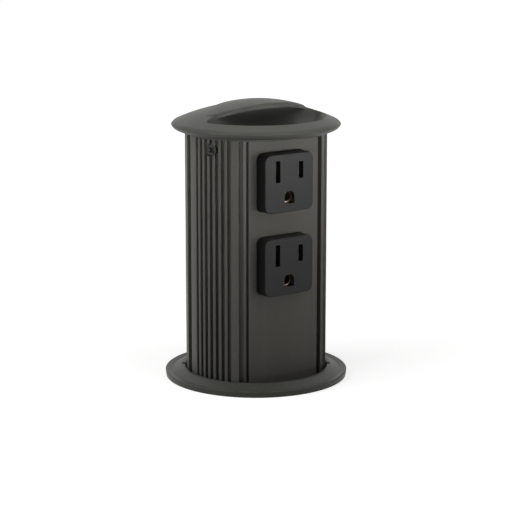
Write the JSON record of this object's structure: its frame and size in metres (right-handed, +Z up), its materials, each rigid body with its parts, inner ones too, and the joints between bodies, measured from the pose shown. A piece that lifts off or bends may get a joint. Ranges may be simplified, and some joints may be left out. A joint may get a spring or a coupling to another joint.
{
  "type": "pop-up socket tower",
  "caption": "Round pull-up counter power tower: fluted column with stacked grounded sockets, domed cap with a crescent finger grip, flange ring, threaded sleeve and lug nut.",
  "frame": {"origin": "centre of the counter hole in the plane of the counter top, which is the underside of the flange ring; the tower is drawn raised", "axes": "+Z up along the tower axis, -Y the way the sockets face, +X to the right of someone who looks at the sockets"},
  "size_m": [0.094, 0.094, 0.1883],
  "materials": {
    "black_aluminium": "satin black anodised",
    "black_shell": "satin black moulded",
    "black_socket": "satin black moulded",
    "black_liner": "matt black moulded",
    "housing_plastic": "matt black moulded",
    "spring_brass": "plain brass",
    "bus_copper": "plain copper",
    "black_screw": "black oxide",
    "terminal_steel": "zinc plated",
    "seal_rubber": "matt",
    "washer_steel": "black painted",
    "insulation_white": "satin",
    "insulation_black": "satin",
    "insulation_green": "satin"
  },
  "bodies": {
    "base": {"flange_ring": "black_shell", "flange_gasket": "seal_rubber", "threaded_sleeve": "black_shell", "guide_liner": "black_liner"},
    "tower": {"column_extrusion": "black_aluminium", "front_panel": "black_aluminium", "rear_panel": "black_aluminium", "top_cap": "black_shell", "cap_gasket": "seal_rubber", "cap_screws": "black_screw", "plug_screws": "black_screw", "upper_socket_face": "black_socket", "lower_socket_face": "black_socket", "upper_socket_housing": "housing_plastic", "lower_socket_housing": "housing_plastic", "upper_neutral_contact": "spring_brass", "upper_line_contact": "spring_brass", "upper_ground_contact": "spring_brass", "lower_neutral_contact": "spring_brass", "lower_line_contact": "spring_brass", "lower_ground_contact": "spring_brass", "neutral_bus": "bus_copper", "line_bus": "bus_copper", "ground_bus": "bus_copper", "neutral_wire": "insulation_white", "line_wire": "insulation_black", "ground_wire": "insulation_green", "terminal_block": "housing_plastic", "terminal_screws": "terminal_steel", "bottom_plug": "black_shell", "cable_gland": "black_liner", "gland_nut": "black_liner"},
    "washer": {"clamp_washer": "washer_steel"},
    "nut": {"locknut": "black_liner"}
  },
  "joints": [
    {"name": "tower_slide", "type": "slide", "parent": "base", "child": "tower", "axis": [0, 0, 1], "range_m": [-0.1108, 0]},
    {"name": "clamp_travel", "type": "slide", "parent": "base", "child": "washer", "axis": [0, 0, 1], "range_m": [-0.008, 0.008]},
    {"name": "locknut_turn", "type": "hinge", "parent": "washer", "child": "nut", "pos_m": [0, 0, -0.0376], "axis": [0, 0, 1], "range_deg": [-720, 720]}
  ],
  "couplings": [
    {"joint": "locknut_turn", "follows": "clamp_travel", "rad_per_m": 1570.8}
  ]
}
